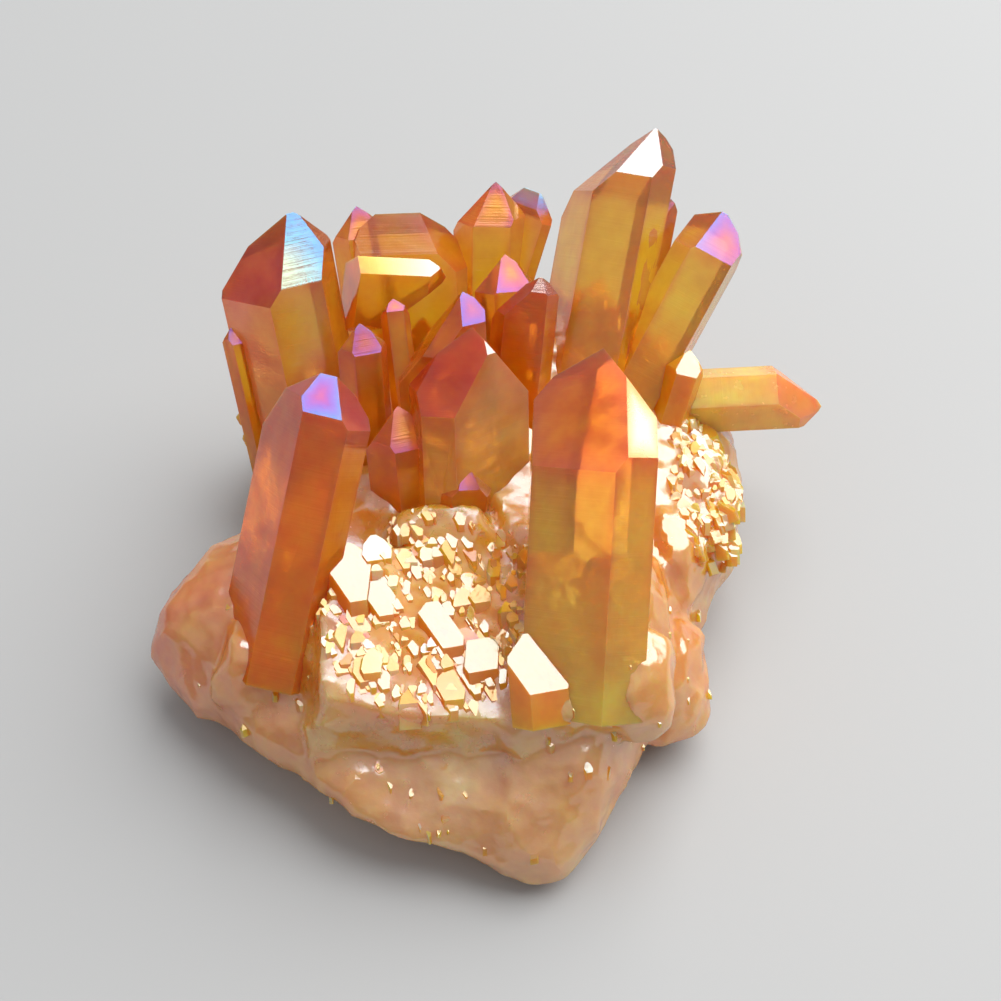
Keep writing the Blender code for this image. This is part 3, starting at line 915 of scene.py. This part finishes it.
@dataclass
class ClearPoints:
    """The long pointed crystals, as one mesh."""

    step: float = 0.9
    quick_step: float = 2.5

    def build(self) -> bpy.types.Mesh:
        """Makes every crystal and joins them."""
        step = self.step
        growths = new_collection("points")
        made = [crystal.shell(step).to_object(name, growths) for name, crystal in POINTS.items()]
        base = made[0]
        growths.objects.unlink(base)
        bpy.context.scene.collection.objects.link(base)
        return grown_together(base, growths, "crystal_points")

    def dress(self) -> bpy.types.Object:
        """Builds the piece and gives it its finish."""
        return as_piece(self.build(), "crystal_points", CLEAR_FINISH.make())


@dataclass(frozen=True)
class Crust:
    """A stretch of small crystals, set where lines along `view` meet the ground near `middle`."""

    middle: tuple[float, float, float]
    view: tuple[float, float, float]
    reach: tuple[float, float]
    count: int
    girth: tuple[float, float]
    rise: tuple[float, float]
    lean: float
    heading: float
    turn: float
    spread: float
    level: bool = False


DRUSE_TINTS = np.array([Tint.GOLD, Tint.AMBER, Tint.PEACH, Tint.CREAM], dtype=object)
WARM_TINTS = np.array([Tint.GOLD, Tint.AMBER, Tint.PEACH, Tint.AMBER], dtype=object)
LEVEL_POINT = (0.7, 0.7, 0.0, 0.7, 0.9, 0.9)
LEVEL_FACE = 2
LEVEL_SHIFT = (0.108, -0.187, 0.275)
LEVEL_STANDING = (41, 97, 74)
CRUSTS = (
    Crust(
        (-6.0, -26.5, 16.0), (0, 0.6, -1), (10.0, 9.5), 430, (0.15, 0.6), (-0.05, 0.2),
        *LEVEL_STANDING, 7, True,
    ),
    Crust(
        (-6.0, -27.5, 16.0), (0, 0.6, -1), (9.5, 8.0), 45, (0.5, 1.1), (-0.1, 0.15),
        *LEVEL_STANDING, 5, True,
    ),
    Crust(
        (19.5, -9.0, 12.0), (-0.4, 0.5, -1), (4.0, 9.0), 260, (0.2, 0.7), (-0.05, 0.25),
        *LEVEL_STANDING, 20, True,
    ),
    Crust(
        (-3.0, -30.0, 9.0), (0, 0.9, -1), (26.0, 16.0), 110, (0.1, 0.35), (0.0, 0.1),
        *LEVEL_STANDING, 14, True,
    ),
    Crust((-8.0, 4.0, 21.0), (0, 0.5, -1), (7.0, 4.0), 30, (0.7, 1.6), (0.4, 2.5), 30, 95, 80, 12),
    Crust((0.0, 12.0, 14.0), (0, -1, -0.5), (20.0, 7.0), 75, (0.7, 1.9), (0.4, 2.2), 62, 92, 40, 25),
    Crust((-21.0, 2.0, 6.0), (1, 0, -0.3), (3.0, 7.0), 20, (1.0, 2.0), (0.3, 1.4), 60, 178, 20, 20),
)


@dataclass
class DrusyMass:
    """The lumpy mass that carries the crystals, with its blocks and its crust of small crystals."""

    middle: tuple[float, float, float] = (-1.0, -14.0, 18.0)
    seat_share: float = 0.8
    crown_share: float = 0.5
    doublings: int = 3
    lump_rows: int = 20
    voxel: float = 0.42
    quick_voxel: float = 0.8
    relaxing: int = 3
    seat_press: float = 0.35
    drop: float = 40.0
    dents: float = 1.05
    small_dents: float = 0.32
    roughness: float = 0.06
    set_back: float = 0.6
    lumps: tuple[Lump, ...] = (
        Lump((-5.0, -18.8, 13.0), (6.8, 4.6, 7.4), 1),
        Lump((-14.5, -25.0, 12.2), (5.5, 8.0, 6.5), 2),
        Lump((-28.0, -22.0, 7.0), (4.8, 5.0, 5.2), 3),
        Lump((19.5, -8.5, 10.0), (5.2, 9.5, 6.6), 4),
        Lump((16.2, -16.0, 10.0), (5.0, 6.5, 6.5), 5),
        Lump((12.0, -24.5, 11.5), (4.6, 6.5, 7.5), 6),
        Lump((16.2, -27.8, 5.0), (3.9, 6.0, 4.8), 7),
        Lump((11.6, -33.0, 14.2), (4.4, 5.2, 6.2), 8),
        Lump((-18.5, 3.0, 9.2), (7.0, 9.0, 9.0), 9),
        Lump((8.0, 9.0, 9.0), (11.0, 8.0, 8.5), 10),
        Lump((-21.2, -28.0, 8.9), (6.2, 6.6, 6.2), 11, 30),
        Lump((6.0, 4.0, 14.0), (6.0, 5.0, 7.0), 12),
        Lump((3.4, -35.0, 11.5), (4.6, 4.4, 5.4), 13),
        Lump((7.6, -31.8, 12.8), (6.2, 6.4, 6.6), 14),
        Lump((5.2, -35.8, 13.2), (3.0, 3.2, 5.2), 15),
        Lump((14.2, -25.5, 7.5), (5.2, 8.0, 6.0), 16),
    )
    floor: Terrace = Terrace(
        (-6.0, -27.5, 17.4), (0.1, -0.22, 0.970),
        (
            (-16.0, -27.5), (-16.0, -33.0), (-15.0, -36.8), (-8.0, -37.0), (0.3, -38.2), (5.5, -36.5),
            (6.5, -30.0), (2.5, -22.0), (-2.0, -19.8), (-11.5, -22.0),
        ),
        (70, 72, 68, 52, 58, 70, 80, 80, 80, 80), 6.0,
    )

    def body(self) -> Shell:
        """The mass as a surface S(u, v): u runs round the stations and v from the seat over the rim and
        the shoulder to the crown, on smooth curves, pushed out by lumps of noise along its own normal.
        The push fades out at the seat, which stays flat."""
        middle = np.array(self.middle)
        rim = np.array([station.rim for station in STATIONS])
        shoulder = np.array([station.shoulder for station in STATIONS])
        seat = middle + (rim - middle) * self.seat_share
        seat[:, 2] = 0.0
        crown = middle + (shoulder - middle) * self.crown_share
        crown[:, 2] = [station.crown for station in STATIONS]
        grid = np.stack([seat, rim, shoulder, crown], axis=1)
        for _ in range(self.doublings):
            grid = halfway(grid, True)
        grid = grid.swapaxes(0, 1)
        for _ in range(self.doublings):
            grid = halfway(grid, False)
        round_u = np.roll(grid, -1, axis=1) - np.roll(grid, 1, axis=1)
        up_v = np.gradient(grid, axis=0)
        outward = np.cross(up_v, round_u)
        outward = outward / np.linalg.norm(outward, axis=2, keepdims=True)
        push = 0.5 * noise(grid, 6.0, 21)
        fade = np.clip(np.arange(len(grid)) / len(grid) * 6.0, 0.0, 1.0)[:, None]
        grid = grid + outward * (push * fade)[..., None]
        rings, columns = grid.shape[:2]
        points = np.concatenate([[[middle[0], middle[1], 0.0]], grid.reshape(-1, 3), [middle]])
        return peach_shell(points, ball_triangles(rings, columns))

    def ground(self) -> Shell:
        """The mass and its lumps as one flowing surface: joined, rebuilt on even voxels and relaxed, then
        moved along its normals by scallops and fine noise. Its seat is pressed flat."""
        growths = new_collection("lumps")
        base = self.body().to_object("mass", bpy.context.scene.collection)
        for index, lump in enumerate(self.lumps):
            lump.shell(self.lump_rows).to_object(f"lump_{index}", growths)
        self.floor.shell(1.0).to_object("floor_of_pocket", growths)
        soft = bpy.data.objects.new("ground", grown_together(base, growths, "ground"))
        bpy.context.scene.collection.objects.link(soft)
        remesh = soft.modifiers.new("even", "REMESH")
        remesh.mode = "VOXEL"
        remesh.voxel_size = self.voxel
        relax = soft.modifiers.new("relax", "SMOOTH")
        relax.factor = 0.5
        relax.iterations = self.relaxing
        soft.modifiers.new("triangles", "TRIANGULATE")
        mesh = bpy.data.meshes.new_from_object(soft.evaluated_get(bpy.context.evaluated_depsgraph_get()))
        bpy.data.objects.remove(soft)
        points = np.empty(len(mesh.vertices) * 3)
        mesh.vertices.foreach_get("co", points)
        normals = np.empty(len(mesh.vertices) * 3)
        mesh.vertex_normals.foreach_get("vector", normals)
        corners = np.empty(len(mesh.loops), int)
        mesh.loops.foreach_get("vertex_index", corners)
        points, normals = points.reshape(-1, 3), normals.reshape(-1, 3)
        push = self.dents * scallops(points, 5.0, 61) + self.small_dents * scallops(points, 2.2, 67)
        push = push + self.roughness * noise(points, 1.1, 23)
        fade = np.clip((points[:, 2] - 0.6) / 3.0, 0.0, 1.0)
        points = points + normals * ((push - self.set_back) * fade)[:, None]
        points[points[:, 2] < self.seat_press, 2] = 0.0
        return peach_shell(np.clip(points, *cad_box()), corners.reshape(-1, 3))

    def crust(self, patch: Crust, ground: BVHTree, chance: np.random.Generator) -> list[Crystal]:
        """Small crystals that stand out of the ground, with their feet inside it.

        Args:
            patch: where they stand and how they are turned.
            ground: the surface that they grow on.
            chance: the source of their differences.

        Returns:
            The crystals in their places.
        """
        view = Vector(patch.view).normalized()
        across = view.cross(Vector((0.0, 1.0, 0.1))).normalized()
        along = view.cross(across)
        placed = []
        for _ in range(patch.count):
            shift = chance.uniform(-1, 1, 2)
            inside = shift @ shift < 1.0
            shift = shift * patch.reach
            girth = chance.uniform(*patch.girth)
            rise = chance.uniform(*patch.rise)
            tilt = chance.uniform(-patch.spread, patch.spread, 3) + (patch.lean, patch.heading, patch.turn)
            sides = tuple(girth * chance.uniform(0.4, 1.6, PRISM_FACES))
            steps = girth * chance.uniform(0.0, 0.35, PRISM_FACES)
            steps = tuple(steps + girth * np.array(LEVEL_POINT)) if patch.level else tuple(steps)
            film = chance.choice([66.0, 78.0, 88.0, 96.0, 122.0], p=[0.25, 0.25, 0.25, 0.15, 0.1])
            tints = chance.permutation(DRUSE_TINTS if patch.level else WARM_TINTS)
            coat_and_painted_light = CoatAndPaintedLight(*tints, Tint.PEACH, 0.35, 0.1, 0.1, film)
            start = Vector(patch.middle) + across * shift[0] + along * shift[1] - view * self.drop
            place, outward = ground.ray_cast(start, view)[:2]
            if not inside or place is None or place.z < 2.0 or abs(outward.z) < 0.25:
                continue
            length = rise + girth * 3.0
            crystal = Crystal((0.0, 0.0, 0.0), *tilt, length, sides, steps, coat_and_painted_light)
            out = crystal.planes()[0][PRISM_FACES + LEVEL_FACE] * rise
            out = out + np.array(LEVEL_SHIFT) * girth if patch.level else np.array([0.0, 0.0, rise + girth])
            tip = np.array(place) + crystal.standing() @ out
            placed.append(Crystal(tuple(tip), *tilt, length, sides, steps, coat_and_painted_light))
        return placed

    def build(self) -> bpy.types.Mesh:
        """Joins the mass, its lumps, its blocks and its crust."""
        chance = np.random.default_rng(7)
        growths = new_collection("growths")
        mass = self.ground()
        base = mass.to_object("mass", bpy.context.scene.collection)
        ground = BVHTree.FromPolygons(mass.points.tolist(), mass.triangles.tolist())
        for name, block in BLOCKS.items():
            block.shell(1.2).to_object(name, growths)
        small = [crystal.shell(20.0) for patch in CRUSTS for crystal in self.crust(patch, ground, chance)]
        low, high = cad_box()
        small = [
            shell for shell in small
            if shell.is_closed() and (shell.points > low).all() and (shell.points < high).all()
        ]
        for index, shell in enumerate(small):
            shell.to_object(f"druse_{index}", growths)
        log.info("druse: %d small crystals", len(small))
        return grown_together(base, growths, "drusy_mass")

    def dress(self) -> bpy.types.Object:
        """Builds the piece and gives it its finish."""
        return as_piece(self.build(), "drusy_mass", MILKY_FINISH.make())


@dataclass(frozen=True)
class Studio:
    """A pale floor, one large soft light from the back right, a pale room and the camera."""

    eye: tuple[float, float, float] = (0.0, -106.06, 126.40)
    looks_down: float = 50.0
    focal_pixels: float = 1500.0
    frame_pixels: float = 1001.0
    light_heading: float = 40.0
    light_height: float = 52.0
    light_distance: float = 1000.0
    light_size: float = 1426.0
    light_watts: float = 18.0
    ceiling: float = 0.7
    walls: float = 0.25

    def floor(self) -> bpy.types.Object:
        """A plain pale slab under everything."""
        reach = 6.0
        mesh = bpy.data.meshes.new("floor")
        corners = np.array([(-1, -1, 0), (1, -1, 0), (1, 1, 0), (-1, 1, 0)]) * reach
        mesh.from_pydata(corners, [], [(0, 1, 2, 3)])
        sheet = NodeSheet("pale_floor")
        sheet.shader.inputs["Base Color"].default_value = (0.42, 0.42, 0.415, 1.0)
        sheet.shader.inputs["Roughness"].default_value = 0.6
        mesh.materials.append(sheet.material)
        slab = bpy.data.objects.new("floor", mesh)
        bpy.context.scene.collection.objects.link(slab)
        return slab

    def light(self) -> None:
        """The soft light and the pale room, whose ceiling is brighter than its walls."""
        lamp = bpy.data.lights.new("softbox", "AREA")
        lamp.shape = "DISK"
        lamp.size = self.light_size * METRES_PER_MM
        lamp.energy = self.light_watts
        made = bpy.data.objects.new("softbox", lamp)
        heading, height = radians(self.light_heading), radians(self.light_height)
        way = Vector((cos(height) * cos(heading), cos(height) * sin(heading), sin(height)))
        made.location = way * self.light_distance * METRES_PER_MM
        made.rotation_euler = way.to_track_quat("Z", "Y").to_euler()
        bpy.context.scene.collection.objects.link(made)
        world = bpy.data.worlds.new("pale_room")
        world.use_nodes = True
        tree = world.node_tree
        backdrop = tree.nodes["Background"]
        backdrop.inputs["Color"].default_value = (0.95, 0.97, 1.0, 1.0)
        way_in = tree.nodes.new("ShaderNodeTexCoord")
        parted = tree.nodes.new("ShaderNodeSeparateXYZ")
        height_share = tree.nodes.new("ShaderNodeMapRange")
        height_share.inputs["To Min"].default_value = self.walls
        height_share.inputs["To Max"].default_value = self.ceiling
        tree.links.new(way_in.outputs["Generated"], parted.inputs["Vector"])
        tree.links.new(parted.outputs["Z"], height_share.inputs["Value"])
        tree.links.new(height_share.outputs["Result"], backdrop.inputs["Strength"])
        bpy.context.scene.world = world

    def camera(self) -> None:
        """The camera, at the photograph's height and angle."""
        lens = bpy.data.cameras.new("camera")
        lens.sensor_width = 36.0
        lens.lens = lens.sensor_width * self.focal_pixels / self.frame_pixels
        lens.clip_start = 0.01
        made = bpy.data.objects.new("camera", lens)
        made.location = (np.array(self.eye) - STAND) * METRES_PER_MM
        made.rotation_euler = (radians(90.0 - self.looks_down), 0.0, 0.0)
        bpy.context.scene.collection.objects.link(made)
        bpy.context.scene.camera = made

    def build(self) -> None:
        """Sets the whole studio up."""
        self.floor()
        self.light()
        self.camera()
        bpy.context.scene.view_settings.view_transform = "Standard"


def main() -> None:
    """Builds the studio and the two pieces."""
    logging.basicConfig(level=logging.INFO, format="%(name)s: %(message)s")
    Studio().build()
    for sub_assembly in (DrusyMass(), ClearPoints()):
        piece = sub_assembly.dress()
        log.info("built %s", piece.name)


if __name__ == "__main__":
    main()
